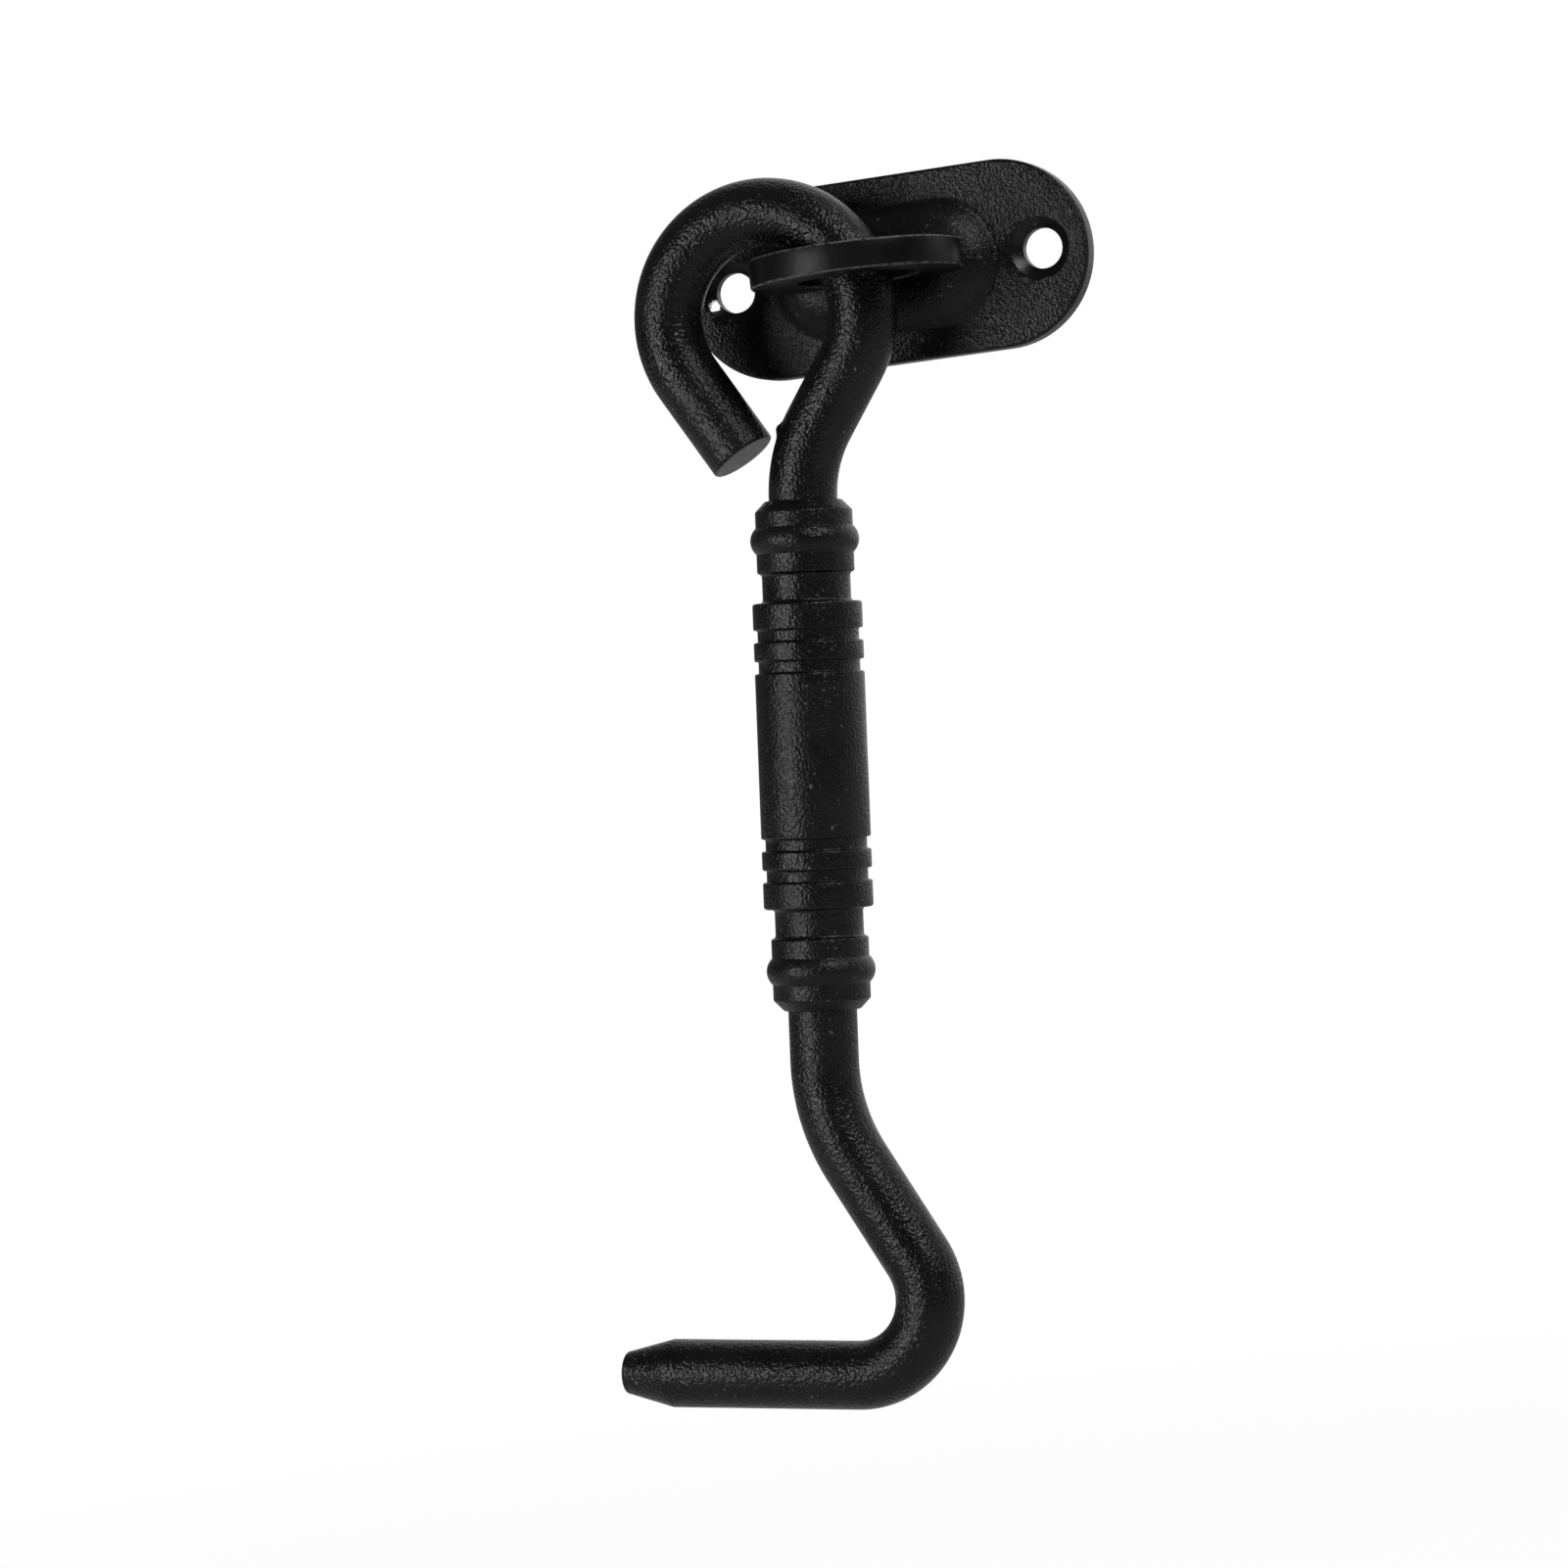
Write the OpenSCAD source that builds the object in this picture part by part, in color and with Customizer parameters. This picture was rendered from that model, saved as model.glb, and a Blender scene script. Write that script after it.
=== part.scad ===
// Hook and eye latch: a bent bar with a turned grip hangs by its curl from a flat eye on a wall plate.
// Millimetres, +Z up. The plate's back lies in Y = 0 and the wall is on the +Y side.

/* [Plate] */
// Length of the plate over its round ends
plate_length = 52.4; // [48:0.2:70]
// Width of the plate
plate_width = 23.2; // [22:0.2:30]
// Thickness of the plate's sheet
plate_thickness = 2.8; // [2.4:0.1:3.4]
// Radius round the plate's front edge
plate_edge_round = 0.8; // [0.3:0.1:1.2]
// Distance between the two screw holes
screw_spacing = 40.2; // [39:0.2:44]
// Diameter of each screw hole
screw_hole_d = 5; // [4:0.1:5.6]
// Diameter of each countersink at the front face
countersink_d = 7.5; // [6.5:0.1:8.5]
// Depth of each countersink
countersink_depth = 1.25; // [0.8:0.05:1.6]

/* [Pressed boss] */
// Length of the boss where it rises from the plate
boss_length = 30; // [28:0.5:31]
// Width of the boss where it rises from the plate
boss_width = 16.4; // [15.4:0.2:18]
// Rise of the boss above the plate's front
boss_rise = 3.2; // [2.8:0.1:4]
// Width of the boss's slope, seen from the front
boss_slope = 4.7; // [4:0.1:5.4]
// Thickness of the boss's top wall
boss_wall = 2.2; // [1.8:0.1:2.6]
// Step in from the boss's foot to the mouth of the hollow behind it
hollow_inset = 1.2; // [0.8:0.1:1.6]
// Width of the hollow's slope
hollow_slope = 3; // [2.6:0.1:3.4]

/* [Eye] */
// Outer diameter of the eye
eye_outer_d = 26; // [24:0.5:28]
// Diameter of the eye's hole
eye_hole_d = 14.6; // [13.6:0.2:15.2]
// Thickness of the eye
eye_thickness = 3.5; // [3:0.1:4]
// Bevel on the eye's edges
eye_bevel = 0.3; // [0.1:0.05:0.5]
// Distance from the wall to the middle of the eye
eye_standoff = 13.8; // [13.4:0.1:15]
// Width of the tang that goes through the boss
tang_width = 8; // [6:0.5:9]
// Room round the tang in its slot
tang_clearance = 0.1; // [0.05:0.05:0.3]
// Length of the peened tail behind the boss
peen_length = 11; // [10:0.5:13]
// Width of the peened tail
peen_width = 6; // [5:0.2:7]
// Thickness of the peened tail
peen_thickness = 1.4; // [1:0.1:1.8]

/* [Bar] */
// Diameter of the bar with its coat
bar_d = 8.4; // [7.6:0.1:8.8]
// Radius of the curl, to the middle of the bar
curl_radius = 12.6; // [12.4:0.1:13.5]
// Angle below level where the neck leaves the curl
curl_neck_angle = 31.6; // [28:0.1:38]
// Angle below level where the free end leaves the curl
curl_tail_angle = 35; // [28:0.5:37]
// Length of the curl's straight free end
curl_tail_length = 11.4; // [8:0.1:12.5]
// Bevel round the cut end of the curl
cut_bevel = 0.35; // [0.1:0.05:0.6]
// Length of the straight neck under the curl
neck_length = 8; // [6:0.1:10]
// Radius of the neck's bend into the shank
neck_bend_radius = 17; // [13:0.5:20]
// Length of the straight shank
shank_length = 68.7; // [66:0.1:90]
// Radius of the bend below the shank
gooseneck_radius = 23.4; // [16:0.1:28]
// Angle of the bend below the shank
gooseneck_angle = 32.3; // [25:0.1:38]
// Length of the slanting straight
slant_length = 13.7; // [10:0.1:20]
// Radius of the hook's bend
hook_bend_radius = 9.4; // [8:0.1:12]
// Upward slope of the hook's arm
arm_rise_angle = 0.5; // [0:0.5:6]
// Length of the hook's arm up to its taper
arm_length = 25.3; // [20:0.1:32]
// Length of the taper at the hook's tip
tip_length = 5.4; // [3:0.2:8]
// Diameter of the hook's tip
tip_d = 5; // [4:0.1:7]
// Bevel round the hook's tip
tip_bevel = 0.4; // [0.1:0.1:0.8]

/* [Grip] */
// Distance from the neck's bend to the top of the grip
grip_drop = 0.4; // [0.2:0.1:2]
// Room between the grip's bore and the bar
grip_clearance = 0.05; // [0.02:0.01:0.1]
// Diameter of the barrel and the rings
barrel_d = 13.4; // [12.6:0.1:15]
// Length of the barrel
barrel_length = 20.2; // [16:0.2:22]
// Diameter of the grooves beside the rings
groove_d = 12.4; // [11.6:0.1:12.8]
// Length of each groove
groove_length = 1.45; // [1:0.05:2]
// Length of each narrow ring
narrow_ring_length = 2.35; // [1.5:0.05:3]
// Length of each wide ring
wide_ring_length = 3.3; // [2.4:0.1:4]
// Diameter of each waist
waist_d = 10.8; // [10:0.1:11.4]
// Length of each waist
waist_length = 3.6; // [3:0.1:4.4]
// Diameter of the collars beside each bead
collar_d = 11.9; // [11.2:0.1:12.4]
// Length of the collar between waist and bead
inner_collar_length = 2.35; // [1.6:0.05:2.8]
// Length of the collar beyond the bead
outer_collar_length = 1.9; // [1.2:0.1:2.4]
// Diameter of each bead over its crown
bead_d = 13.3; // [12.8:0.1:14]
// Length of each bead
bead_length = 3.25; // [2.6:0.05:3.8]
// Length of the cone at each end
end_cone_length = 1.3; // [0.8:0.1:1.8]
// Diameter of the cone's small end
end_cone_d = 9.4; // [9.2:0.1:9.8]
// Bevel on the barrel's and rings' edges
ring_bevel = 0.25; // [0.1:0.05:0.4]

/* [Pose] */
// Room between the eye's rim and the inside of the curl
link_gap = 0.35; // [0.3:0.05:0.5]
// Distance from the middle of the rim to the middle of the curl
curl_offset = 2.15; // [1.2:0.05:2.4]
// Lean of the hanging hook, its lower end towards -X
hook_lean = 4.4; // [0:0.1:6]

/* [Hidden] */
$fn = 96;
// A small overlap that lets a cut pass a face
pass = 1;
// The straight runs lap over the bends by this much
bar_lap = 0.2;
// The straight runs stand proud of the bends by this much, which keeps the laps clean
bar_step = 0.01;
// Each lap tapers by this much, so that it ends inside the bend
lap_taper = 0.04;
boss_top = plate_thickness + boss_rise;
hollow_top = boss_top - boss_wall;
hook_bend_angle = gooseneck_angle + 90 + arm_rise_angle;
curl_sweep = 180 + curl_neck_angle + curl_tail_angle;
curl_x = -(eye_outer_d + eye_hole_d) / 4 - curl_offset;
curl_inner_radius = curl_radius - bar_d / 2;
rim_corner_x = -eye_hole_d / 2 - curl_x;
curl_z = eye_thickness / 2 - sqrt(pow(curl_inner_radius - link_gap, 2) - pow(rim_corner_x, 2));
neck_end_x = curl_radius * cos(curl_neck_angle) - neck_length * sin(curl_neck_angle);
neck_end_z = -curl_radius * sin(curl_neck_angle) - neck_length * cos(curl_neck_angle);
shank_x = neck_end_x - neck_bend_radius * (1 - cos(curl_neck_angle));
shank_top = neck_end_z - neck_bend_radius * sin(curl_neck_angle);
groove_start = barrel_length / 2;
narrow_ring_start = groove_start + groove_length;
second_groove_start = narrow_ring_start + narrow_ring_length;
wide_ring_start = second_groove_start + groove_length;
waist_start = wide_ring_start + wide_ring_length;
inner_collar_start = waist_start + waist_length;
bead_start = inner_collar_start + inner_collar_length;
outer_collar_start = bead_start + bead_length;
end_cone_start = outer_collar_start + outer_collar_length;
grip_half = end_cone_start + end_cone_length;
wide_ring_middle = wide_ring_start + wide_ring_length / 2;
inner_collar_middle = inner_collar_start + inner_collar_length / 2;
collar_run = end_cone_start - inner_collar_start;
grip_middle = shank_top - grip_drop - grip_half;
bead_rise = (bead_d - collar_d) / 2;
bead_radius = (pow(bead_length / 2, 2) + pow(bead_rise, 2)) / (2 * bead_rise);
coat_black = [0.06, 0.06, 0.065];
eye_black = [0.09, 0.09, 0.095];

// A form with round ends, from half of its section drawn with its middle on the Y axis
module round_ended(straight) {
  rotate([90, 0, 90])
    linear_extrude(height = straight, center = true) {
      children();
      mirror([1, 0]) children();
    }
  for (side = [-1, 1])
    translate([side * straight / 2, 0, 0])
      rotate([0, 0, side * 90 - 180])
        rotate_extrude(angle = 180) children();
}

// Half the section of a pressed swelling: two equal arcs blend its flat top into the sheet
module swelling(foot, slope, rise) {
  top = foot - slope;
  middle = foot - slope / 2;
  bend = (slope * slope + rise * rise) / (4 * rise);
  square([top, rise]);
  square([middle, rise / 2]);
  intersection() {
    translate([top, rise - bend]) circle(r = bend);
    translate([top, rise / 2]) square([slope / 2, rise / 2]);
  }
  difference() {
    translate([middle, 0]) square([slope / 2, rise / 2]);
    translate([foot, bend]) circle(r = bend);
  }
}

// Half the section of the flat plate, with a round on its front edge
module plate_section() {
  half = plate_width / 2;
  square([half - plate_edge_round, plate_thickness]);
  square([half, plate_thickness - plate_edge_round]);
  translate([half - plate_edge_round, plate_thickness - plate_edge_round]) circle(r = plate_edge_round);
}

module base_plate() {
  boss_foot = boss_width / 2;
  straight = boss_length - boss_width;
  color(coat_black)
    rotate([90, 0, 0])
      difference() {
        union() {
          round_ended(plate_length - plate_width) plate_section();
          translate([0, 0, plate_thickness])
            round_ended(straight) swelling(boss_foot, boss_slope, boss_rise);
        }
        round_ended(straight) swelling(boss_foot - hollow_inset, hollow_slope, hollow_top);
        for (side = [-1, 1])
          translate([side * screw_spacing / 2, 0, 0]) {
            translate([0, 0, -pass]) cylinder(h = plate_thickness + 2 * pass, d = screw_hole_d);
            translate([0, 0, plate_thickness - countersink_depth])
              cylinder(h = countersink_depth, d1 = screw_hole_d, d2 = countersink_d);
          }
        translate([-tang_width / 2 - tang_clearance, -eye_thickness / 2 - tang_clearance, hollow_top - pass])
          cube([tang_width + 2 * tang_clearance, eye_thickness + 2 * tang_clearance, boss_wall + 2 * pass]);
      }
}

// A disc centred on its own middle, with bevelled edges
module bevelled_disc(height, d, bevel) {
  straight = height - 2 * bevel;
  cylinder(h = straight, d = d, center = true);
  for (side = [0, 1])
    mirror([0, 0, side])
      translate([0, 0, straight / 2])
        cylinder(h = bevel, d1 = d, d2 = d - 2 * bevel);
}

module eye_ring() {
  reach = eye_standoff + eye_outer_d;
  color(eye_black) {
    difference() {
      union() {
        intersection() {
          translate([0, -eye_standoff, 0]) bevelled_disc(eye_thickness, eye_outer_d, eye_bevel);
          translate([-eye_outer_d, -boss_top - reach, -eye_thickness])
            cube([2 * eye_outer_d, reach, 2 * eye_thickness]);
        }
        translate([-tang_width / 2, -eye_standoff, -eye_thickness / 2])
          cube([tang_width, eye_standoff - hollow_top, eye_thickness]);
      }
      translate([0, -eye_standoff, 0]) {
        cylinder(h = 2 * eye_thickness, d = eye_hole_d, center = true);
        for (side = [0, 1])
          mirror([0, 0, side])
            translate([0, 0, eye_thickness / 2 - eye_bevel])
              cylinder(h = eye_bevel, d1 = eye_hole_d, d2 = eye_hole_d + 2 * eye_bevel);
      }
    }
    rotate([90, 0, 0])
      translate([0, 0, hollow_top - peen_thickness]) {
        linear_extrude(height = peen_thickness)
          square([peen_length - peen_width, peen_width], center = true);
        for (side = [-1, 1])
          translate([side * (peen_length - peen_width) / 2, 0, 0])
            cylinder(h = peen_thickness, d = peen_width);
      }
  }
}

// Places the hook's own frame: its origin is the middle of the curl and its shank hangs along -Z
module hung() {
  translate([curl_x, -eye_standoff, curl_z])
    rotate([0, hook_lean, 0]) children();
}

// The tapered lap of a straight run, from its thin end to the run's full thickness
module lap() {
  translate([0, 0, -bar_lap]) cylinder(h = bar_lap, d1 = bar_d - 2 * lap_taper, d2 = bar_d);
}

// A straight run of bar along +Z that laps over the bends beside it; what follows starts at its far end
module run(length, far_lap = true) {
  lap();
  cylinder(h = length, d = bar_d);
  translate([0, 0, length]) {
    if (far_lap) mirror([0, 0, 1]) lap();
    children();
  }
}

// A bend of the bar from +Z towards +X, or towards -X with side = -1; what follows starts at its far end
module bend(radius, angle, side) {
  translate([side * radius, 0, 0]) {
    rotate([90, 0, 0])
      rotate([0, 0, side > 0 ? 180 - angle : 0])
        rotate_extrude(angle = angle)
          translate([radius, 0]) circle(d = bar_d - 2 * bar_step);
    rotate([0, side * angle, 0])
      translate([-side * radius, 0, 0]) children();
  }
}

// The bevelled end of the bar's cut
module cut_end(bevel) {
  cylinder(h = bevel, d1 = bar_d, d2 = bar_d - 2 * bevel);
}

// The hook's tapered tip
module tip() {
  cylinder(h = tip_length - tip_bevel, d1 = bar_d, d2 = tip_d);
  translate([0, 0, tip_length - tip_bevel])
    cylinder(h = tip_bevel, d1 = tip_d, d2 = tip_d - 2 * tip_bevel);
}

module hook_bar() {
  color(coat_black)
    hung()
      translate([shank_x, 0, shank_top]) {
        bend(neck_bend_radius, curl_neck_angle, 1)
          run(neck_length)
            bend(curl_radius, curl_sweep, -1)
              run(curl_tail_length - cut_bevel, false)
                cut_end(cut_bevel);
        rotate([0, 180, 0])
          run(shank_length)
            bend(gooseneck_radius, gooseneck_angle, -1)
              run(slant_length)
                bend(hook_bend_radius, hook_bend_angle, 1)
                  run(arm_length, false)
                    tip();
      }
}

// One length of the turned grip, from a distance along its axis
module turned(start, length, d, bevel) {
  translate([0, 0, start + length / 2]) bevelled_disc(length, d, bevel);
}

// A round length from one height to another, run inside its thicker neighbours
module turned_core(from, to, d) {
  translate([0, 0, from]) cylinder(h = to - from, d = d);
}

// A bead with a crowned face, as a profile
module bead_profile() {
  intersection() {
    translate([bead_d / 2 - bead_radius, bead_length / 2]) circle(r = bead_radius);
    square([bead_d, bead_length]);
  }
}

// One end of the grip: a collar with its bead, and the cone
module grip_end() {
  rotate_extrude()
    union() {
      polygon([[0, 0], [collar_d / 2, 0], [collar_d / 2, collar_run],
        [end_cone_d / 2, collar_run + end_cone_length], [0, collar_run + end_cone_length]]);
      translate([0, inner_collar_length]) bead_profile();
    }
}

module grip_sleeve() {
  color(coat_black)
    hung()
      translate([shank_x, 0, grip_middle])
        difference() {
          union() {
            bevelled_disc(barrel_length, barrel_d, ring_bevel);
            for (side = [0, 1])
              mirror([0, 0, side]) {
                turned_core(groove_start / 2, wide_ring_middle, groove_d);
                turned(narrow_ring_start, narrow_ring_length, barrel_d, ring_bevel);
                turned(wide_ring_start, wide_ring_length, barrel_d, ring_bevel);
                turned_core(wide_ring_middle, inner_collar_middle, waist_d);
                translate([0, 0, inner_collar_start]) grip_end();
              }
          }
          cylinder(h = 2 * grip_half + 2 * pass, d = bar_d + 2 * grip_clearance, center = true);
        }
}

base_plate();
eye_ring();
hook_bar();
grip_sleeve();
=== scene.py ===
# %% [markdown]
# # A black hook and eye latch
#
# The latch is a bent bar with a turned grip, and it hangs by its curl from a flat eye on a wall plate.
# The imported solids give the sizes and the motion. Each visible piece is made again here as a smooth
# surface with soft, coated edges, because a thick powder coat rounds every corner of the bare metal.

# %% Load the frame
import math
import bmesh
import bpy
import numpy as np
from mathutils import Matrix


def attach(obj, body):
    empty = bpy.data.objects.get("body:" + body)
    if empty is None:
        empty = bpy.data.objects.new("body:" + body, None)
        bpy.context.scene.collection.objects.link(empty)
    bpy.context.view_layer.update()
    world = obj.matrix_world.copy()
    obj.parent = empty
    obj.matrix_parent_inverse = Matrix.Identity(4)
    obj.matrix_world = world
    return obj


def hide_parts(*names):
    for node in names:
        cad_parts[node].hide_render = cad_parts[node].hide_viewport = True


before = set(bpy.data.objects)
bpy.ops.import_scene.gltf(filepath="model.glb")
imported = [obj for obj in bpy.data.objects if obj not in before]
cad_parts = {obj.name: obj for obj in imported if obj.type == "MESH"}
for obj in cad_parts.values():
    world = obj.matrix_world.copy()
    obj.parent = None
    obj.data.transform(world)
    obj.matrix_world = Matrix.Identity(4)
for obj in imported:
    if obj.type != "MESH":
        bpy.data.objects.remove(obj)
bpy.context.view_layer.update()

# %% [markdown]
# ## From arrays to a mesh
#
# A surface is a grid of points: rows run along the piece and columns run round it. Its faces are the
# same for every grid, so one helper makes them all. Points that fall together at a pole or a seam are
# merged, which closes the shell, and the normals are then turned outwards. Sizes stay in millimetres
# until the very end, because that is how a drawing of such a part is read.

# %% Mesh helpers
MM = 0.001


def grid_faces(rows, columns, wrap_rows=False):
    """Corner numbers of the quads of a grid whose columns run round and close on themselves."""
    last = rows if wrap_rows else rows - 1
    i, j = np.meshgrid(np.arange(last), np.arange(columns), indexing="ij")
    here, right = i * columns, (j + 1) % columns
    below = ((i + 1) % rows) * columns
    return np.stack([here + j, here + right, below + right, below + j], axis=-1).reshape(-1, 4)


def make_piece(name, shells, sharp_degrees=180, marks=None):
    """A mesh object from shells, each a grid of points in mm and whether its rows close too."""
    points, faces, start = [], [], 0
    for grid, wrap_rows in shells:
        rows, columns = grid.shape[:2]
        points.append(grid.reshape(-1, 3))
        faces.append(grid_faces(rows, columns, wrap_rows) + start)
        start += rows * columns
    mesh = bpy.data.meshes.new(name)
    mesh.from_pydata(np.concatenate(points) * MM, [], np.concatenate(faces).tolist())
    for mark, values in (marks or {}).items():
        mesh.attributes.new(mark, "FLOAT", "POINT").data.foreach_set("value", values.astype(np.float32))
    work = bmesh.new()
    work.from_mesh(mesh)
    bmesh.ops.remove_doubles(work, verts=work.verts, dist=1e-7)
    bmesh.ops.recalc_face_normals(work, faces=work.faces)
    work.to_mesh(mesh)
    work.free()
    mesh.shade_smooth()
    if sharp_degrees < 180:
        mesh.set_sharp_from_angle(angle=math.radians(sharp_degrees))
    piece = bpy.data.objects.new(name, mesh)
    bpy.context.collection.objects.link(piece)
    print(name, len(mesh.vertices), "points", len(mesh.polygons), "faces")
    return piece


# %% [markdown]
# ## The hook's own frame
#
# The hook is drawn with its curl's middle at the origin and its shank straight down, as it would lie
# on a bench. It is then leaned a little and hung where the curl goes round the eye's rim.

# %% Place of the hook
EYE_STANDOFF = 13.8
CURL_MIDDLE = np.array([-12.3, -EYE_STANDOFF, -4.5589])
HOOK_LEAN = math.radians(4.4)
BAR_R = 4.2
CURL_R, NECK_ANGLE, TAIL_ANGLE = 12.6, 31.6, 35
NECK_LENGTH, NECK_BEND_R = 8, 17
TAIL_LENGTH, SHANK_LENGTH = 12.0, 68.7
GOOSENECK_R, GOOSENECK_ANGLE, SLANT_LENGTH = 23.4, 32.3, 13.7
HOOK_BEND_R, ARM_RISE_ANGLE, ARM_LENGTH, TIP_LENGTH = 9.4, 0.5, 24.0, 6.2


def hang(points):
    """Turns points about Y by the lean and moves the curl's middle to its place on the eye."""
    c, s = math.cos(HOOK_LEAN), math.sin(HOOK_LEAN)
    turn = np.array([[c, 0, s], [0, 1, 0], [-s, 0, c]])
    return points @ turn.T + CURL_MIDDLE


# %% [markdown]
# ## The bar
#
# The real hook is one round bar, bent cold round formers, so its middle line is only straight runs and
# arcs that meet smoothly. A curve object with a bevel could be swept along it, but numbers give the cut
# end, the taper and the coat's small lump exactly where they belong. Walking from the cut end, each
# piece of the line needs a length and, for an arc, the angle that it turns through.

# %% The bar's middle line
CURL_SWEEP = 180 + NECK_ANGLE + TAIL_ANGLE
HOOK_SWEEP = GOOSENECK_ANGLE + 90 + ARM_RISE_ANGLE
CURL_RUN = CURL_R * math.radians(CURL_SWEEP)
BAR_RUNS = [
    (TAIL_LENGTH, 0),
    (CURL_RUN, -CURL_SWEEP),
    (NECK_LENGTH, 0),
    (NECK_BEND_R * math.radians(NECK_ANGLE), NECK_ANGLE),
    (SHANK_LENGTH, 0),
    (GOOSENECK_R * math.radians(GOOSENECK_ANGLE), GOOSENECK_ANGLE),
    (SLANT_LENGTH, 0),
    (HOOK_BEND_R * math.radians(HOOK_SWEEP), -HOOK_SWEEP),
    (ARM_LENGTH + TIP_LENGTH, 0),
]
BAR_TOTAL = sum(length for length, turn in BAR_RUNS)


def bar_line(s):
    """Points (x, z) and headings at distances s along the bar.

    On a straight run the heading stays, and on an arc it turns evenly.
    """
    tail = math.radians(180 + TAIL_ANGLE)
    heading = math.radians(90 + TAIL_ANGLE)
    x = CURL_R * math.cos(tail) - TAIL_LENGTH * math.cos(heading)
    z = CURL_R * math.sin(tail) - TAIL_LENGTH * math.sin(heading)
    px, pz, ph, start = np.zeros_like(s), np.zeros_like(s), np.zeros_like(s), 0.0
    for length, turn in BAR_RUNS:
        here = s >= start
        t = s[here] - start
        rate = math.radians(turn) / length
        ph[here] = heading + rate * t
        if turn:
            px[here] = x + (np.sin(heading + rate * t) - math.sin(heading)) / rate
            pz[here] = z - (np.cos(heading + rate * t) - math.cos(heading)) / rate
            x += (math.sin(heading + rate * length) - math.sin(heading)) / rate
            z -= (math.cos(heading + rate * length) - math.cos(heading)) / rate
        else:
            px[here] = x + t * math.cos(heading)
            pz[here] = z + t * math.sin(heading)
            x += length * math.cos(heading)
            z += length * math.sin(heading)
        heading += math.radians(turn)
        start += length
    return px, pz, ph


line_end = bar_line(np.array([0.0, BAR_TOTAL]))
line_ends = np.round(np.stack(line_end[:2], 1), 2)
print("bar", round(BAR_TOTAL, 1), "mm long, from", line_ends[0], "to", line_ends[1])

# %% [markdown]
# ## The bar's surface
#
# A circle is carried along the line. Its radius falls to nothing at both ends: the curl ends in a
# square cut with a softened rim, and the hook's tip tapers to a small flat face. A small lump in the
# neck's bend, where the powder gathered, is added to the radius as a rounded hill.

# %% The bar
CUT_BEVEL, TIP_R, TIP_BEVEL = 0.35, 2.65, 0.4
LUMP_RISE, LUMP_SPREAD, LUMP_PAST_NECK, LUMP_ANGLE = 0.5, 0.55, 2.4, math.radians(163)
BODY_ROWS, AROUND = 640, 72


def bar_rows():
    """Distance along the bar and radius, row by row.

    The rows are the cut face, its rim, the body, the taper, the tip's rim and its face.
    """
    quarter = np.linspace(0, math.pi / 2, 7)
    face = np.linspace(0, BAR_R - CUT_BEVEL, 8)[:-1]
    body = np.linspace(CUT_BEVEL, BAR_TOTAL - TIP_LENGTH, BODY_ROWS)[1:-1]
    taper = np.linspace(0, 1, 12)
    tip_face = np.linspace(TIP_R - TIP_BEVEL, 0, 6)[1:]
    s = np.concatenate([
        0 * face, CUT_BEVEL * (1 - np.cos(quarter)), body,
        BAR_TOTAL - TIP_LENGTH + (TIP_LENGTH - TIP_BEVEL) * taper,
        BAR_TOTAL - TIP_BEVEL * (1 - np.sin(quarter[1:])), 0 * tip_face + BAR_TOTAL])
    r = np.concatenate([
        face, BAR_R - CUT_BEVEL * (1 - np.sin(quarter)), 0 * body + BAR_R,
        BAR_R + (TIP_R - BAR_R) * taper,
        TIP_R - TIP_BEVEL * (1 - np.cos(quarter[1:])), tip_face])
    return s, r


def bar_grid():
    """The line's point plus radius times (cosine along the line's normal plus sine along Y)."""
    s, r = bar_rows()
    x, z, heading = bar_line(s)
    v = np.linspace(0, 2 * math.pi, AROUND, endpoint=False)
    arc = BAR_R * (v - LUMP_ANGLE)
    lump_at = TAIL_LENGTH + CURL_RUN + NECK_LENGTH + LUMP_PAST_NECK
    lump = LUMP_RISE * np.exp(-((s[:, None] - lump_at) / LUMP_SPREAD) ** 2 - (arc[None] / LUMP_SPREAD) ** 2)
    radius = r[:, None] + lump
    across, forward = radius * np.cos(v), radius * np.sin(v)
    return hang(np.stack([x[:, None] - np.sin(heading)[:, None] * across, -forward,
                          z[:, None] + np.cos(heading)[:, None] * across], axis=-1)), s, r


bar_points, bar_s, bar_r = bar_grid()
on_cut = (bar_s < 0.5 * CUT_BEVEL) & (bar_r < BAR_R - 0.4 * CUT_BEVEL)
cut_mark = np.repeat(on_cut.astype(float), AROUND)
bar = make_piece("coated_bar", [(bar_points, False)], sharp_degrees=50, marks={"cut_face": cut_mark})

# %% [markdown]
# ## The grip
#
# The grip is turned on a lathe, so it is a profile spun round the shank: a plain barrel, grooved rings,
# a waist, and a crowned bead between two collars at each end. Each corner of the profile is replaced by
# a small arc that touches both of its sides, which is what the coat does to a sharp turned edge.

# %% The grip's profile
BARREL_R, GROOVE_R, WAIST_R, COLLAR_R, END_R, BORE_R = 6.7, 6.2, 5.4, 5.95, 4.7, 4.25
RING_FILLET, GROOVE_FILLET, WAIST_FILLET, BEAD_FILLET = 0.25, 0.18, 0.45, 0.12
GRIP_REACH, GRIP_DROP, GRIP_COLUMNS = 31.05, 0.4, 128
GRIP_HALF = [
    (10.1, BARREL_R, RING_FILLET), (10.1, GROOVE_R, GROOVE_FILLET),
    (11.55, GROOVE_R, GROOVE_FILLET), (11.55, BARREL_R, RING_FILLET),
    (13.9, BARREL_R, RING_FILLET), (13.9, GROOVE_R, GROOVE_FILLET),
    (15.35, GROOVE_R, GROOVE_FILLET), (15.35, BARREL_R, RING_FILLET),
    (18.65, BARREL_R, 0.35), (18.65, WAIST_R, WAIST_FILLET),
    (22.25, WAIST_R, WAIST_FILLET), (22.25, COLLAR_R, RING_FILLET), (24.6, COLLAR_R, BEAD_FILLET)]
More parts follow.
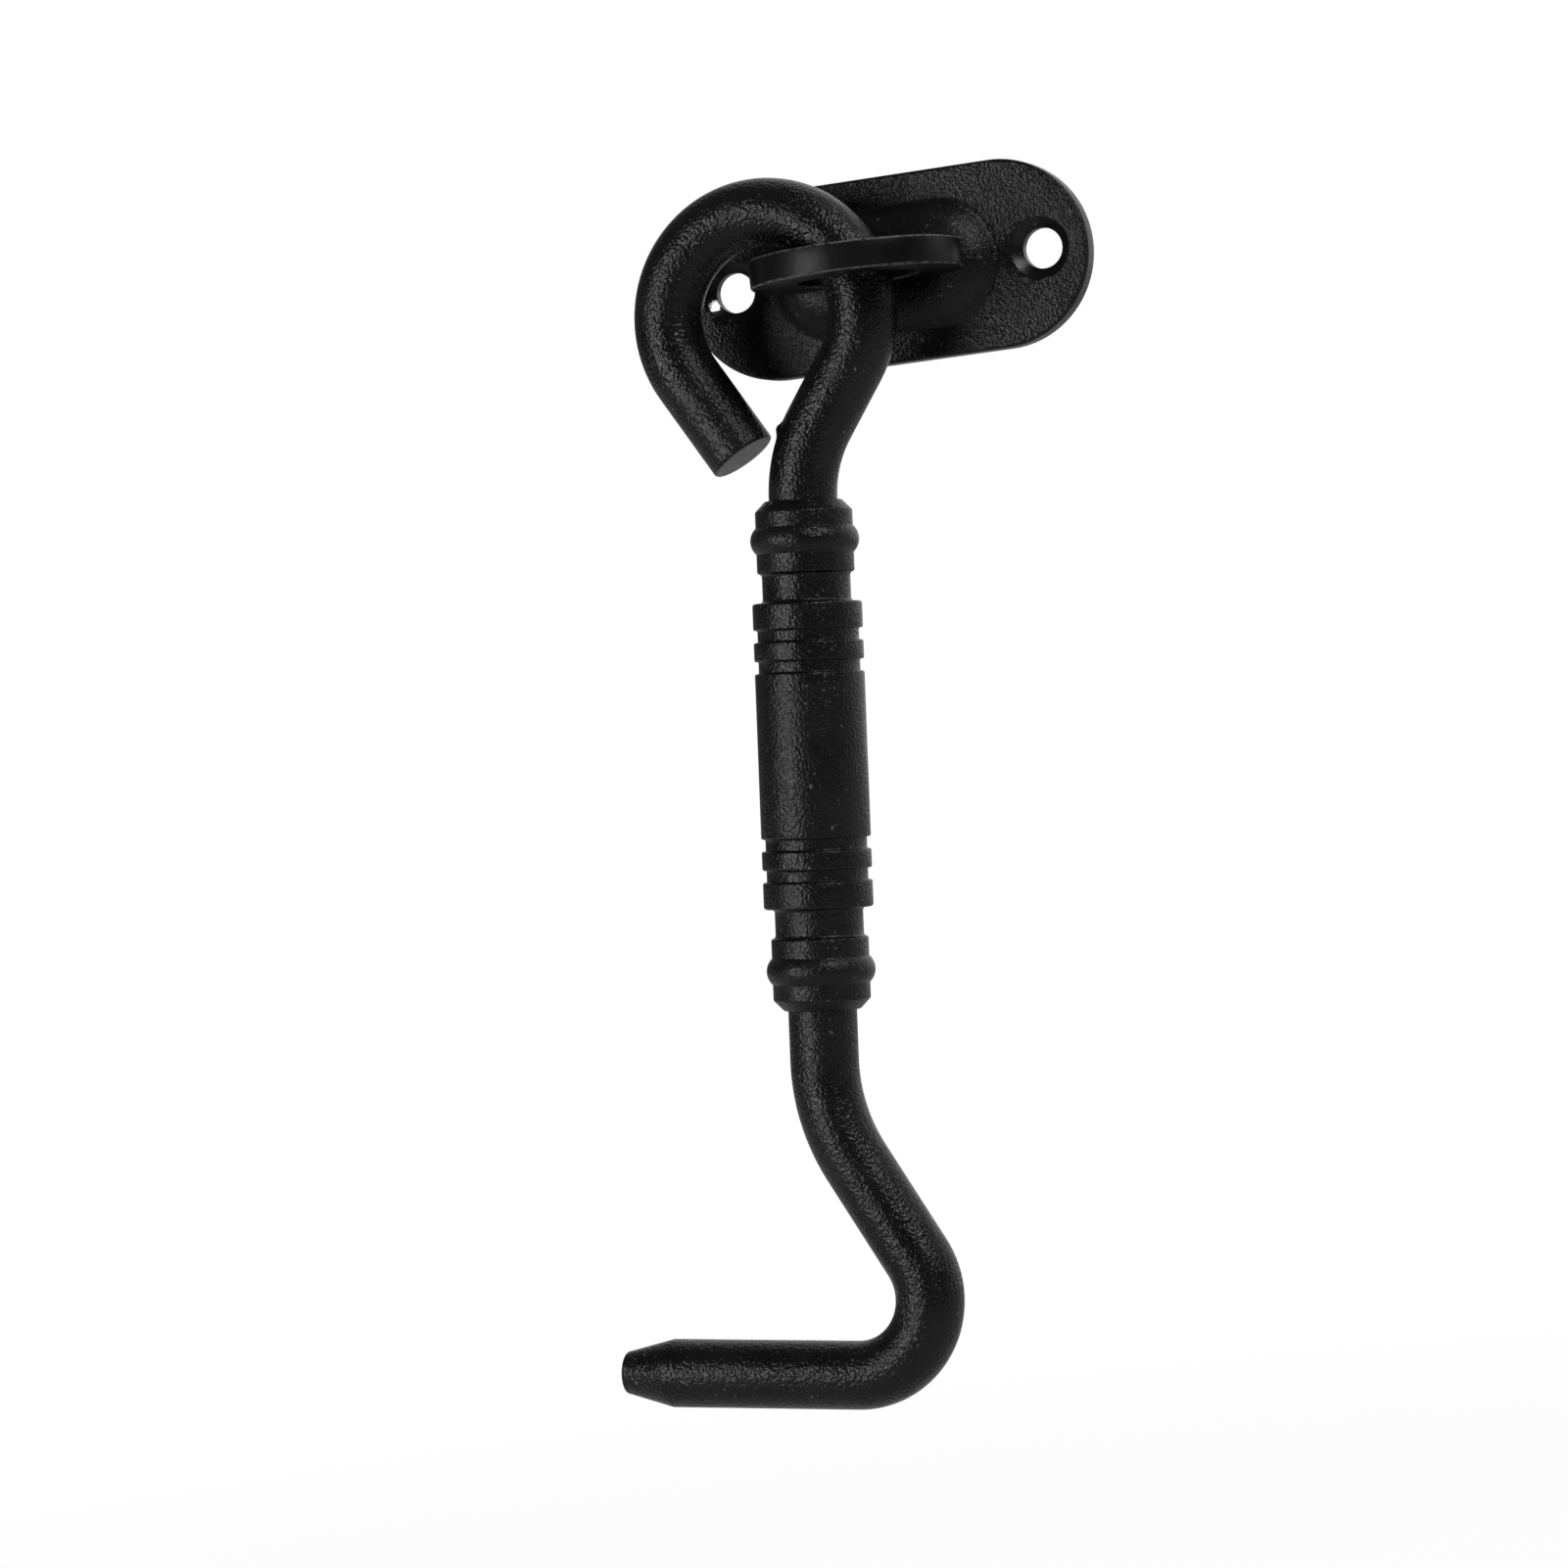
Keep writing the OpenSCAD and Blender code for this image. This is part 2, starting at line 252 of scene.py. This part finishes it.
GRIP_END = [
    (27.85, COLLAR_R, BEAD_FILLET), (29.75, COLLAR_R, 0.4), (GRIP_REACH, END_R, 0.2), (GRIP_REACH, BORE_R, 0)]
BEAD_LENGTH, BEAD_RISE, BEAD_MIDDLE = 3.25, 0.7, 26.225


def round_corners(corners, steps=5):
    """Cuts each corner of an open line of (along, radius, fillet) by an arc tangent to both sides."""
    pts = np.array(corners)
    out = [pts[:1, :2]]
    for a, b, c in zip(pts[:-2], pts[1:-1], pts[2:]):
        one, two = (a - b)[:2], (c - b)[:2]
        one, two = one / np.hypot(*one), two / np.hypot(*two)
        half = math.acos(np.clip(one @ two, -1, 1)) / 2
        if b[2] <= 0 or half > math.radians(88):
            out.append(b[None, :2])
            continue
        middle = b[:2] + (one + two) / np.hypot(*(one + two)) * b[2] / math.sin(half)
        first = b[:2] + one * b[2] / math.tan(half) - middle
        last = b[:2] + two * b[2] / math.tan(half) - middle
        t = np.linspace(0, 1, steps)[:, None]
        chord = first * (1 - t) + last * t
        out.append(middle + chord / np.linalg.norm(chord, axis=1, keepdims=True) * b[2])
    return np.concatenate(out + [pts[-1:, :2]])


def bead_corners():
    """Points of a crowned bead: an arc that rises above the collars and comes back to them."""
    radius = ((BEAD_LENGTH / 2) ** 2 + BEAD_RISE ** 2) / (2 * BEAD_RISE)
    t = np.linspace(-BEAD_LENGTH / 2, BEAD_LENGTH / 2, 17)[1:-1]
    height = np.sqrt(radius ** 2 - t ** 2) - (radius - BEAD_RISE)
    return [(BEAD_MIDDLE + a, COLLAR_R + h, 0) for a, h in zip(t, height)]


half_profile = GRIP_HALF + bead_corners() + GRIP_END
profile = round_corners([(-a, r, f) for a, r, f in half_profile[::-1]] + half_profile)
print("grip profile", len(profile), "points, largest radius", profile[:, 1].max())

# %% The grip
NECK_COS, NECK_SIN = math.cos(math.radians(NECK_ANGLE)), math.sin(math.radians(NECK_ANGLE))
SHANK_X = CURL_R * NECK_COS - NECK_LENGTH * NECK_SIN - NECK_BEND_R * (1 - NECK_COS)
SHANK_TOP = -CURL_R * NECK_SIN - NECK_LENGTH * NECK_COS - NECK_BEND_R * NECK_SIN
GRIP_MIDDLE = SHANK_TOP - GRIP_DROP - GRIP_REACH


def spun(profile, columns):
    """A profile of (along, radius) turned about Z: radius times cosine and sine, and the distance along."""
    v = np.linspace(0, 2 * math.pi, columns, endpoint=False)
    along, radius = profile[:, :1], profile[:, 1:2]
    return np.stack(np.broadcast_arrays(radius * np.cos(v), radius * np.sin(v), along), axis=-1)


grip_points = hang(spun(profile, GRIP_COLUMNS) + np.array([SHANK_X, 0, GRIP_MIDDLE]))
grip = make_piece("turned_grip", [(grip_points, True)], sharp_degrees=60)

# %% [markdown]
# ## The eye
#
# The eye is a flat ring cut from plate, with only a thin bevel on its edges. It is spun like the grip,
# from a rounded rectangle, and everything that would lie deep in the boss is pressed back to one plane
# just under its top, because the boss falls away under the ends of the real eye's seat. Its peened tail
# fills the slot behind.

# %% The eye
EYE_OUTER_R, EYE_HOLE_R, EYE_HALF, EYE_BEVEL = 13.0, 7.3, 1.75, 0.3
BOSS_TOP, HOLLOW_TOP, EYE_SINK = 6.0, 3.8, 1.1
EYE_COLUMNS, TAIL_COLUMNS, TAIL_POWER = 192, 64, 0.6
eye_section = round_corners([
    (0, EYE_HOLE_R, 0), (-EYE_HALF, EYE_HOLE_R, EYE_BEVEL), (-EYE_HALF, EYE_OUTER_R, EYE_BEVEL),
    (EYE_HALF, EYE_OUTER_R, EYE_BEVEL), (EYE_HALF, EYE_HOLE_R, EYE_BEVEL), (0.01, EYE_HOLE_R, 0)], 4)
eye_points = spun(eye_section, EYE_COLUMNS) + np.array([0, -EYE_STANDOFF, 0])
eye_points[..., 1] = np.minimum(eye_points[..., 1], EYE_SINK - BOSS_TOP)

# Half length, half width and depth of each outline of the tail
PEEN_ROWS = [
    (0, 0, -2.25), (0.6, 0.6, -2.27), (3.6, 1.7, -2.4), (5.0, 2.6, -2.75), (5.5, 3.0, -3.3),
    (5.5, 3.0, -3.78), (4.0, 1.75, -3.8), (4.0, 1.75, -6.1), (0, 0, -6.1)]


def peened_tail():
    """Rounded rectangles at their depths: each coordinate is a half size times a power of a cosine or sine."""
    v = np.linspace(0, 2 * math.pi, TAIL_COLUMNS, endpoint=False)
    rows = np.array(PEEN_ROWS)
    c = np.sign(np.cos(v)) * np.abs(np.cos(v)) ** TAIL_POWER
    s = np.sign(np.sin(v)) * np.abs(np.sin(v)) ** TAIL_POWER
    return np.stack(np.broadcast_arrays(rows[:, :1] * c, rows[:, 2:], rows[:, 1:2] * s), axis=-1)


BEVEL_REACH = 0.29
at_face = np.abs(eye_section[:, 0]) > EYE_HALF - BEVEL_REACH
at_rim = (eye_section[:, 1] < EYE_HOLE_R + BEVEL_REACH) | (eye_section[:, 1] > EYE_OUTER_R - BEVEL_REACH)
tail = peened_tail()
bevel_mark = np.concatenate([
    np.repeat((at_face & at_rim).astype(float), EYE_COLUMNS), np.zeros(tail.shape[0] * tail.shape[1])])
eye = make_piece("flat_eye", [(eye_points, True), (tail, False)], sharp_degrees=50, marks={"bevel": bevel_mark})

# %% [markdown]
# ## The plate
#
# The plate is pressed from sheet: a flat with round ends, a long oval boss that swells out of it, and the
# same swelling as a hollow behind. Every outline on it is a straight slot shape, two half circles joined
# by straights, so the whole skin is one list of such outlines, from the middle of the boss out over
# the edge and back into the hollow.

# %% The plate's skin
PLATE_A, PLATE_R, PLATE_T, EDGE_R, BACK_R = 14.6, 11.6, 2.8, 0.45, 0.25
BOSS_A, BOSS_FOOT, BOSS_SLOPE, BOSS_RISE = 6.8, 8.2, 6.4, 3.2
HOLLOW_FOOT, HOLLOW_SLOPE, CROWN_SHARE = 7.0, 3.0, 0.86


def swelling(foot, slope, rise, share=0.5, steps=9):
    """Radius and height down a slope of two arcs that meet smoothly.

    The crown takes a share of the sum of both radii, and the foot's fillet takes the rest.
    """
    both = (slope ** 2 + rise ** 2) / (2 * rise)
    crown, fillet = share * both, (1 - share) * both
    t = np.linspace(0, math.asin(slope / both), steps)
    top = np.stack([foot - slope + crown * np.sin(t), rise - crown * (1 - np.cos(t))], 1)
    low = np.stack([foot - fillet * np.sin(t[::-1]), fillet * (1 - np.cos(t[::-1]))], 1)
    return np.concatenate([top, low[1:]])


def plate_rows():
    """Half length of the straight, end radius and depth, row by row over the plate's skin."""
    def rows(a, r, y):
        return np.stack(np.broadcast_arrays(*(np.asarray(part, float) for part in (a, r, y))), 1)
    quarter = np.linspace(0, math.pi / 2, 8)
    boss = swelling(BOSS_FOOT, BOSS_SLOPE, BOSS_RISE, CROWN_SHARE)
    hollow = swelling(HOLLOW_FOOT, HOLLOW_SLOPE, HOLLOW_TOP)[::-1]
    out = np.linspace(0, 1, 6)[1:]
    flat = (BOSS_A + (PLATE_A - BOSS_A) * out, BOSS_FOOT + (PLATE_R - EDGE_R - BOSS_FOOT) * out)
    back = (PLATE_A + (BOSS_A - PLATE_A) * out, PLATE_R - BACK_R + (HOLLOW_FOOT - PLATE_R + BACK_R) * out)
    return np.concatenate([
        rows(BOSS_A, np.linspace(0, boss[0, 0], 6)[:-1], -BOSS_TOP),
        rows(BOSS_A, boss[:, 0], -PLATE_T - boss[:, 1]),
        rows(flat[0], flat[1], -PLATE_T),
        rows(PLATE_A, PLATE_R - EDGE_R + EDGE_R * np.sin(quarter[1:]),
             -PLATE_T + EDGE_R - EDGE_R * np.cos(quarter[1:])),
        rows(PLATE_A, PLATE_R - BACK_R + BACK_R * np.cos(quarter), -BACK_R + BACK_R * np.sin(quarter)),
        rows(back[0], back[1], 0.0),
        rows(BOSS_A, hollow[1:, 0], -hollow[1:, 1]),
        rows(BOSS_A, np.linspace(hollow[-1, 0], 0, 6)[1:], -HOLLOW_TOP)])


def slot_outline(arc=49, straight=17):
    """Round a slot shape: each point's side of the straight, and the direction of its radius."""
    right = np.linspace(-math.pi / 2, math.pi / 2, arc)
    left = np.linspace(math.pi / 2, 3 * math.pi / 2, arc)
    slide = np.linspace(1, -1, straight)[1:-1]
    side = np.concatenate([0 * right + 1, slide, 0 * left - 1, -slide])
    angle = np.concatenate([right, 0 * slide + math.pi / 2, left, 0 * slide + 3 * math.pi / 2])
    return side, np.cos(angle), np.sin(angle)


def plate_grid():
    """Point = straight's half length times side, plus radius times direction, at the row's depth."""
    a, r, y = plate_rows().T[:, :, None]
    side, c, s = slot_outline()
    return np.stack(np.broadcast_arrays(a * side + r * c, y, r * s), axis=-1)


plate = make_piece("pressed_plate", [(plate_grid(), False)], sharp_degrees=50)

# %% [markdown]
# ## Screw holes
#
# The holes are drilled after pressing and countersunk for a flat screw head. A hole changes how the
# skin hangs together, so it is cut with a Boolean modifier from a spun drill shape, and the modifier is
# applied at once: the finished piece is then a plain mesh.

# %% Drill the plate
SCREW_X, HOLE_R, SINK_R, SINK_DEPTH = 20.1, 2.5, 3.75, 1.25
DRILL_PASS, BACK_CHAMFER, RIM_IN, RIM_OUT, RIM_LIFT = 2.0, 0.25, 0.06, 0.1, 0.02
DRILL_COLUMNS, HOLE_SHARP = 96, 28
drill_profile = np.array([
    (-DRILL_PASS, 0), (-DRILL_PASS, HOLE_R + BACK_CHAMFER), (0.0, HOLE_R + BACK_CHAMFER),
    (BACK_CHAMFER, HOLE_R), (PLATE_T - SINK_DEPTH, HOLE_R), (PLATE_T - RIM_IN, SINK_R - RIM_IN),
    (PLATE_T + RIM_LIFT, SINK_R + RIM_OUT), (PLATE_T + DRILL_PASS, SINK_R + RIM_OUT),
    (PLATE_T + DRILL_PASS, 0)])
drill = spun(drill_profile, DRILL_COLUMNS)
drill = np.stack([drill[..., 0], -drill[..., 2], drill[..., 1]], axis=-1)
cutter = make_piece("drill", [(drill + np.array([x, 0, 0]), False) for x in (-SCREW_X, SCREW_X)])
cut = plate.modifiers.new("holes", "BOOLEAN")
cut.operation, cut.solver, cut.object = "DIFFERENCE", "EXACT", cutter
drilled = bpy.data.meshes.new_from_object(plate.evaluated_get(bpy.context.evaluated_depsgraph_get()))
plate.modifiers.clear()
plate.data = drilled
drilled.shade_smooth()
drilled.set_sharp_from_angle(angle=math.radians(HOLE_SHARP))
bpy.data.objects.remove(cutter)
print("drilled plate", len(drilled.polygons), "faces")

# %% [markdown]
# ## Writing shader maths
#
# A material is a graph, and a long graph is hard to read as a list of links. The small class here wraps
# a socket, so that a sum or a product of two sockets reads like arithmetic and adds the Math node by
# itself. One method adds any other node: its settings first, then its sockets.

# %% Socket arithmetic
class Wire:
    """A socket of a node tree, with arithmetic."""

    def __init__(self, tree, socket):
        self.tree, self.socket = tree, socket

    def node(self, kind, settings=None, out=0, **inputs):
        """Adds a node of any kind: settings are its properties, and inputs its sockets.

        A socket is given by its name, with _ for a space, or by i and its number.
        """
        made = self.tree.nodes.new(kind)
        for key, value in (settings or {}).items():
            setattr(made, key, value)
        for key, value in inputs.items():
            numbered = key[0] == "i" and key[1:].isdigit()
            target = made.inputs[int(key[1:]) if numbered else key.replace("_", " ")]
            if isinstance(value, Wire):
                self.tree.links.new(value.socket, target)
            else:
                target.default_value = value
        return Wire(self.tree, made.outputs[out])

    def math(self, operation, a, b):
        """A Math node on two values."""
        return self.node("ShaderNodeMath", {"operation": operation}, i0=a, i1=b)

    def __add__(self, other):
        return self.math("ADD", self, other)

    def __sub__(self, other):
        return self.math("SUBTRACT", self, other)

    def __mul__(self, other):
        return self.math("MULTIPLY", self, other)

    def __pow__(self, other):
        return self.math("POWER", self, other)

    def __rsub__(self, other):
        return self.math("SUBTRACT", other, self)

    def band(self, low, high):
        """0 below low, 1 above high and a smooth rise between."""
        return self.node("ShaderNodeMapRange", {"interpolation_type": "SMOOTHSTEP"},
                         i0=self, i1=low, i2=high, i3=0.0, i4=1.0)

    def tint(self, dark, light):
        """Mixes two colours by this value."""
        mix = self.tree.nodes.new("ShaderNodeMix")
        mix.data_type = "RGBA"
        self.tree.links.new(self.socket, mix.inputs[0])
        for target, colour in ((mix.inputs[6], dark), (mix.inputs[7], light)):
            if isinstance(colour, Wire):
                self.tree.links.new(colour.socket, target)
            else:
                target.default_value = (*colour, 1)
        return Wire(self.tree, mix.outputs[2])


def new_material(name):
    """A material with only its output and a Principled shader, and a Wire to start from."""
    made = bpy.data.materials.new(name)
    made.use_nodes = True
    tree = made.node_tree
    shader = next(n for n in tree.nodes if n.type == "BSDF_PRINCIPLED")
    return made, shader, Wire(tree, None)


def connect(shader, **inputs):
    """Links wires to the shader's sockets, and sets plain numbers on them."""
    for key, value in inputs.items():
        target = shader.inputs[key.replace("_", " ")]
        if isinstance(value, Wire):
            value.tree.links.new(value.socket, target)
        else:
            target.default_value = value


# %% [markdown]
# ## The textured black coat
#
# Powder coat melts into a skin with small pebbles, about half a millimetre across, lying on slow swells
# a few millimetres wide. That skin catches the light in patches. A fine noise for the pebbles and a
# coarse one for the swells bend the normal. A third noise shifts the roughness and, very little, the
# colour, and a fourth scatters a few grey specks. The plate's pebbles are finer than the bar's. The coat
# lies smoother in the countersinks, and in the left one the powder missed a spot, where bare metal shows.

# %% Textured coat
BARE_SPOT = ((-SCREW_X - 2.75) * MM, -2.1 * MM, -1.3 * MM)
COAT_DARK, COAT_LIGHT = (0.0022, 0.0022, 0.0024), (0.0045, 0.0045, 0.0048)
SPECK_GREY, BARE_METAL = (0.07, 0.07, 0.07), (0.55, 0.55, 0.54)


def textured_coat(name, pebble=0.00016, rough=0.21, fineness=2700.0):
    """Black coat: fine rounded pebbles over slow swells, as a bump, with patches of roughness."""
    made, shader, w = new_material(name)
    place = w.node("ShaderNodeTexCoord", out=3)
    pebbles = w.node("ShaderNodeTexNoise", Vector=place, Scale=fineness, Detail=1.0, Roughness=0.4)
    swell = w.node("ShaderNodeTexNoise", Vector=place, Scale=300.0, Detail=1.0, Roughness=0.5)
    patch = w.node("ShaderNodeTexNoise", Vector=place, Scale=130.0, Detail=3.0, Roughness=0.6)
    dust = w.node("ShaderNodeTexNoise", Vector=place, Scale=1700.0, Detail=0.0, Roughness=0.5)
    specks = dust.band(0.78, 0.84)
    bump = w.node("ShaderNodeBump", Strength=1.0, Distance=pebble, Height=pebbles + swell * 0.6)
    tone = specks.tint(patch.band(0.35, 0.7).tint(COAT_DARK, COAT_LIGHT), SPECK_GREY)
    connect(shader, Base_Color=tone, Normal=bump, Metallic=0.0, Specular_IOR_Level=0.22,
            Roughness=patch.band(0.3, 0.72) * 0.1 + rough)
    return made, shader, w, place, tone, bump


pebbled_plate, shader, w, place, tone, bump = textured_coat(
    "pebbled_plate", pebble=0.00013, rough=0.26, fineness=3400.0)
from_middle = w.node("ShaderNodeSeparateXYZ", Vector=place)
up = Wire(w.tree, from_middle.socket.node.outputs[2])
across = w.math("ABSOLUTE", from_middle, 0.0) - SCREW_X * MM
outside = ((across * across + up * up) ** 0.5).band((SINK_R - 0.1) * MM, (SINK_R + 0.1) * MM)
w.tree.links.new((outside * 0.85 + 0.15).socket, bump.socket.node.inputs["Strength"])
ragged = w.node("ShaderNodeTexNoise", Vector=place, Scale=1400.0, Detail=2.0, Roughness=0.6)
off_spot = w.node("ShaderNodeVectorMath", {"operation": "DISTANCE"}, out=1, i0=place, i1=BARE_SPOT)
bare = 1 - (off_spot + ragged * 0.0012).band(0.00125, 0.0014)
connect(shader, Base_Color=bare.tint(tone, BARE_METAL), Metallic=bare * 0.9)
pebbled_grip = textured_coat("pebbled_grip", pebble=0.00014, rough=0.25)[0]
print("coats:", pebbled_plate.name, pebbled_grip.name)

# %% [markdown]
# ## The bar's cut end
#
# The bar wears the same coat, but the sheared face at the end of the curl holds less powder: it is a
# greyer disc with fine marks from the shear and a few dark spots. An attribute that is 1 on that face
# carries the difference, so the mark stays on the face however the hook swings.

# %% Bar coat
SHEAR_DARK, SHEAR_LIGHT, SPOT_BLACK = (0.018, 0.018, 0.019), (0.065, 0.065, 0.068), (0.008, 0.008, 0.008)
pebbled_bar, shader, w, place, tone = textured_coat("pebbled_bar")[:5]
face = w.node("ShaderNodeAttribute", {"attribute_name": "cut_face"}, out=2)
drawn = w.node("ShaderNodeMapping", Vector=place, Scale=(300.0, 300.0, 2600.0), Rotation=(0.3, 0.5, 0.2))
marks = w.node("ShaderNodeTexNoise", Vector=drawn, Scale=1.0, Detail=3.0, Roughness=0.65)
sheared = marks.band(0.4, 0.62).tint(SHEAR_DARK, SHEAR_LIGHT)
spots = w.node("ShaderNodeTexNoise", Vector=place, Scale=1100.0, Detail=1.0).band(0.58, 0.64)
connect(shader, Base_Color=face.tint(tone, spots.tint(sheared, SPOT_BLACK)))
print("coat:", pebbled_bar.name)

# %% [markdown]
# ## The eye's smoother coat
#
# The eye is blanked from flat plate, and its coat lies flatter. A fine grey line is painted along each bevel as
# a highlight, in place of the light that its edges would catch, so an attribute marks the bevels and a noise
# breaks the line up. Slow swells and a fine grain bend the normal here too, but much less than on the bar.

# %% Eye coat
EYE_DARK, EYE_LIGHT, BEVEL_HIGHLIGHT_GREY = (0.0024, 0.0024, 0.0026), (0.005, 0.005, 0.0053), (0.08, 0.08, 0.08)
satin_eye, shader, w = new_material("satin_eye")
place = w.node("ShaderNodeTexCoord", out=3)
swell = w.node("ShaderNodeTexNoise", Vector=place, Scale=310.0, Detail=2.0, Roughness=0.5)
grain = w.node("ShaderNodeTexNoise", Vector=place, Scale=1500.0, Detail=2.0, Roughness=0.5)
patch = w.node("ShaderNodeTexNoise", Vector=place, Scale=160.0, Detail=3.0, Roughness=0.6)
bump = w.node("ShaderNodeBump", Strength=1.0, Distance=0.00006, Height=swell * 1.2 + grain * 0.35)
bevel = w.node("ShaderNodeAttribute", {"attribute_name": "bevel"}, out=2)
# Painted highlight: a grey line on the bevels, broken up by the grain, stands in for light caught by their
# edges.
painted_bevel_highlight = bevel.band(0.3, 0.9) * grain.band(0.3, 0.6)
coat = patch.band(0.3, 0.7).tint(EYE_DARK, EYE_LIGHT)
connect(shader, Base_Color=painted_bevel_highlight.tint(coat, BEVEL_HIGHLIGHT_GREY), Normal=bump,
        Roughness=patch.band(0.3, 0.7) * 0.12 + 0.27, Metallic=0.0, Specular_IOR_Level=0.14)
print("coat:", satin_eye.name)

# %% [markdown]
# ## Fix the pieces to their bodies
#
# Each new piece takes the place of one solid and rides on the same body, so the bar and the grip swing
# together and the eye stays on the plate.

# %% Ride and replace
for piece, node, body, slot, material in (
        (plate, "base_plate", "plate", "plate_coat", pebbled_plate),
        (eye, "eye_ring", "plate", "eye_coat", satin_eye),
        (bar, "hook_bar", "hook", "bar_coat", pebbled_bar),
        (grip, "grip_sleeve", "hook", "grip_coat", pebbled_grip)):
    piece.data.materials.clear()
    piece.data.materials.append(material)
    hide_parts(node)
    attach(piece, body)
    print(piece.name, "rides on", body)

# %% [markdown]
# ## Camera
#
# A pinhole camera was fitted to the photograph: it stands to the right of the plate, a little below the
# eye, and is rolled slightly. Its axes are the directions right, up and back, and the lens follows from
# the fitted focal length in pixels: an image of 1601 pixels on a 36 mm sensor.

# %% Camera
CAMERA_AZIMUTH, CAMERA_ELEVATION, CAMERA_ROLL = map(math.radians, (19.71, -0.74, 6.34))
CAMERA_PLACE = (0.22009, -0.67436, -0.07064)
FOCAL_PIXELS, IMAGE_PIXELS, SENSOR_MM = 5866, 1601, 36


def camera_axes(azimuth, elevation, roll):
    """Right, up and back of a camera at that azimuth and elevation, turned in its picture by the roll."""
    right = np.array([math.cos(azimuth), math.sin(azimuth), 0])
    level = math.cos(elevation)
    back = np.array([math.sin(azimuth) * level, -math.cos(azimuth) * level, math.sin(elevation)])
    up = np.cross(back, right)
    c, s = math.cos(roll), math.sin(roll)
    return np.stack([c * right - s * up, s * right + c * up, back], 1)


def placed(place, axes):
    """The matrix of an object at a place, with its axes as columns."""
    return Matrix.Translation(place) @ Matrix(axes.tolist()).to_4x4()


lens = bpy.data.cameras.new("camera")
lens.sensor_width, lens.lens = SENSOR_MM, SENSOR_MM * FOCAL_PIXELS / IMAGE_PIXELS
lens.clip_start, lens.clip_end = 0.05, 20
camera = bpy.data.objects.new("camera", lens)
bpy.context.collection.objects.link(camera)
camera.matrix_world = placed(CAMERA_PLACE, camera_axes(CAMERA_AZIMUTH, CAMERA_ELEVATION, CAMERA_ROLL))
bpy.context.scene.camera = camera
print("lens", round(lens.lens, 1), "mm")

# %% [markdown]
# ## Floor, background and light
#
# The picture has a white ground. A pale table lies below the hook, and the world is a small studio: a
# white backdrop behind the piece, which its right edges reflect, and a dim room in front. One large soft
# lamp at the left draws the broad strip of light down the bar and the grip, and a smaller one high at
# the right models the boss and the top of the curl.

# %% Floor
FLOOR_SIDE, FLOOR_NEAR, FLOOR_FAR, FLOOR_Z = 2.0, -0.35, 3.0, -0.165
FLOOR_DARK, FLOOR_LIGHT, FLOOR_SHINE = (0.86, 0.86, 0.86), (0.9, 0.9, 0.9), 0.25


def light_path(w):
    """Wires that are 1 for a ray from the camera, off a glossy surface and through glass."""
    seen = w.node("ShaderNodeLightPath")
    outputs = seen.socket.node.outputs
    return seen, Wire(w.tree, outputs["Is Glossy Ray"]), Wire(w.tree, outputs["Is Transmission Ray"])


floor_corners = [(x, y, FLOOR_Z) for x in (-FLOOR_SIDE, FLOOR_SIDE) for y in (FLOOR_NEAR, FLOOR_FAR)]
floor_mesh = bpy.data.meshes.new("floor")
floor_mesh.from_pydata(floor_corners, [], [(0, 2, 3, 1)])
floor = bpy.data.objects.new("floor", floor_mesh)
bpy.context.collection.objects.link(floor)
floor_paint, shader, w = new_material("floor_paint")
place = w.node("ShaderNodeTexCoord", out=3)
mottle = w.node("ShaderNodeTexNoise", Vector=place, Scale=3.0, Detail=2.0)
connect(shader, Base_Color=mottle.tint(FLOOR_DARK, FLOOR_LIGHT), Roughness=0.8)
seen, glossy, clear = light_path(w)
far = w.node("ShaderNodeVectorMath", {"operation": "LENGTH"}, out=1, Vector=place).band(0.2, 0.385)
glow = w.node("ShaderNodeEmission", Color=(1, 1, 1, 1), Strength=1.0)
white = (seen + clear) * (far * 0.04 + 0.96) + glossy * FLOOR_SHINE
blend = w.node("ShaderNodeMixShader", i0=white, i1=Wire(w.tree, shader.outputs[0]), i2=glow)
w.tree.links.new(blend.socket, next(n for n in w.tree.nodes if n.type == "OUTPUT_MATERIAL").inputs[0])
floor_mesh.materials.append(floor_paint)
print("floor at", FLOOR_Z, "m")

# %% World and lamps
BACKDROP_WAY, ROOM_LEVEL = (0.4, 0.8, 0.4), 0.12
world = bpy.data.worlds.new("studio")
bpy.context.scene.world = world
world.use_nodes = True
w = Wire(world.node_tree, None)
ground = next(n for n in world.node_tree.nodes if n.type == "BACKGROUND")
seen, glossy, clear = light_path(w)
facing = w.node("ShaderNodeVectorMath", {"operation": "DOT_PRODUCT"}, out=1,
                i0=w.node("ShaderNodeTexCoord"), i1=BACKDROP_WAY)
backdrop = facing.band(0.35, 0.85)
level = (seen + clear + glossy * backdrop) * (1 - ROOM_LEVEL) + ROOM_LEVEL
w.tree.links.new(level.socket, ground.inputs["Strength"])
ground.inputs["Color"].default_value = (1, 1, 1, 1)


def soft_lamp(name, place, aim, size, watts):
    """A square area lamp at a place, turned to look at its aim."""
    lamp = bpy.data.lights.new(name, "AREA")
    lamp.shape, lamp.size, lamp.energy = "SQUARE", size, watts
    made = bpy.data.objects.new(name, lamp)
    bpy.context.collection.objects.link(made)
    back = np.array(place) - np.array(aim)
    back = back / np.linalg.norm(back)
    right = np.cross([0, 0, 1], back)
    right = right / np.linalg.norm(right)
    made.matrix_world = placed(place, np.stack([right, np.cross(back, right), back], 1))
    print(name, "lamp,", watts, "W")


soft_lamp("key", (-0.53, -0.78, 0.0), (0, 0, -0.06), 0.52, 5.7)
soft_lamp("high", (0.62, -0.45, 0.60), (0, 0, -0.02), 0.45, 5.2)

# %% [markdown]
# ## Finish
#
# The colours are shown as written, with no film look.

# %% Finish
bpy.context.scene.view_settings.view_transform = "Standard"
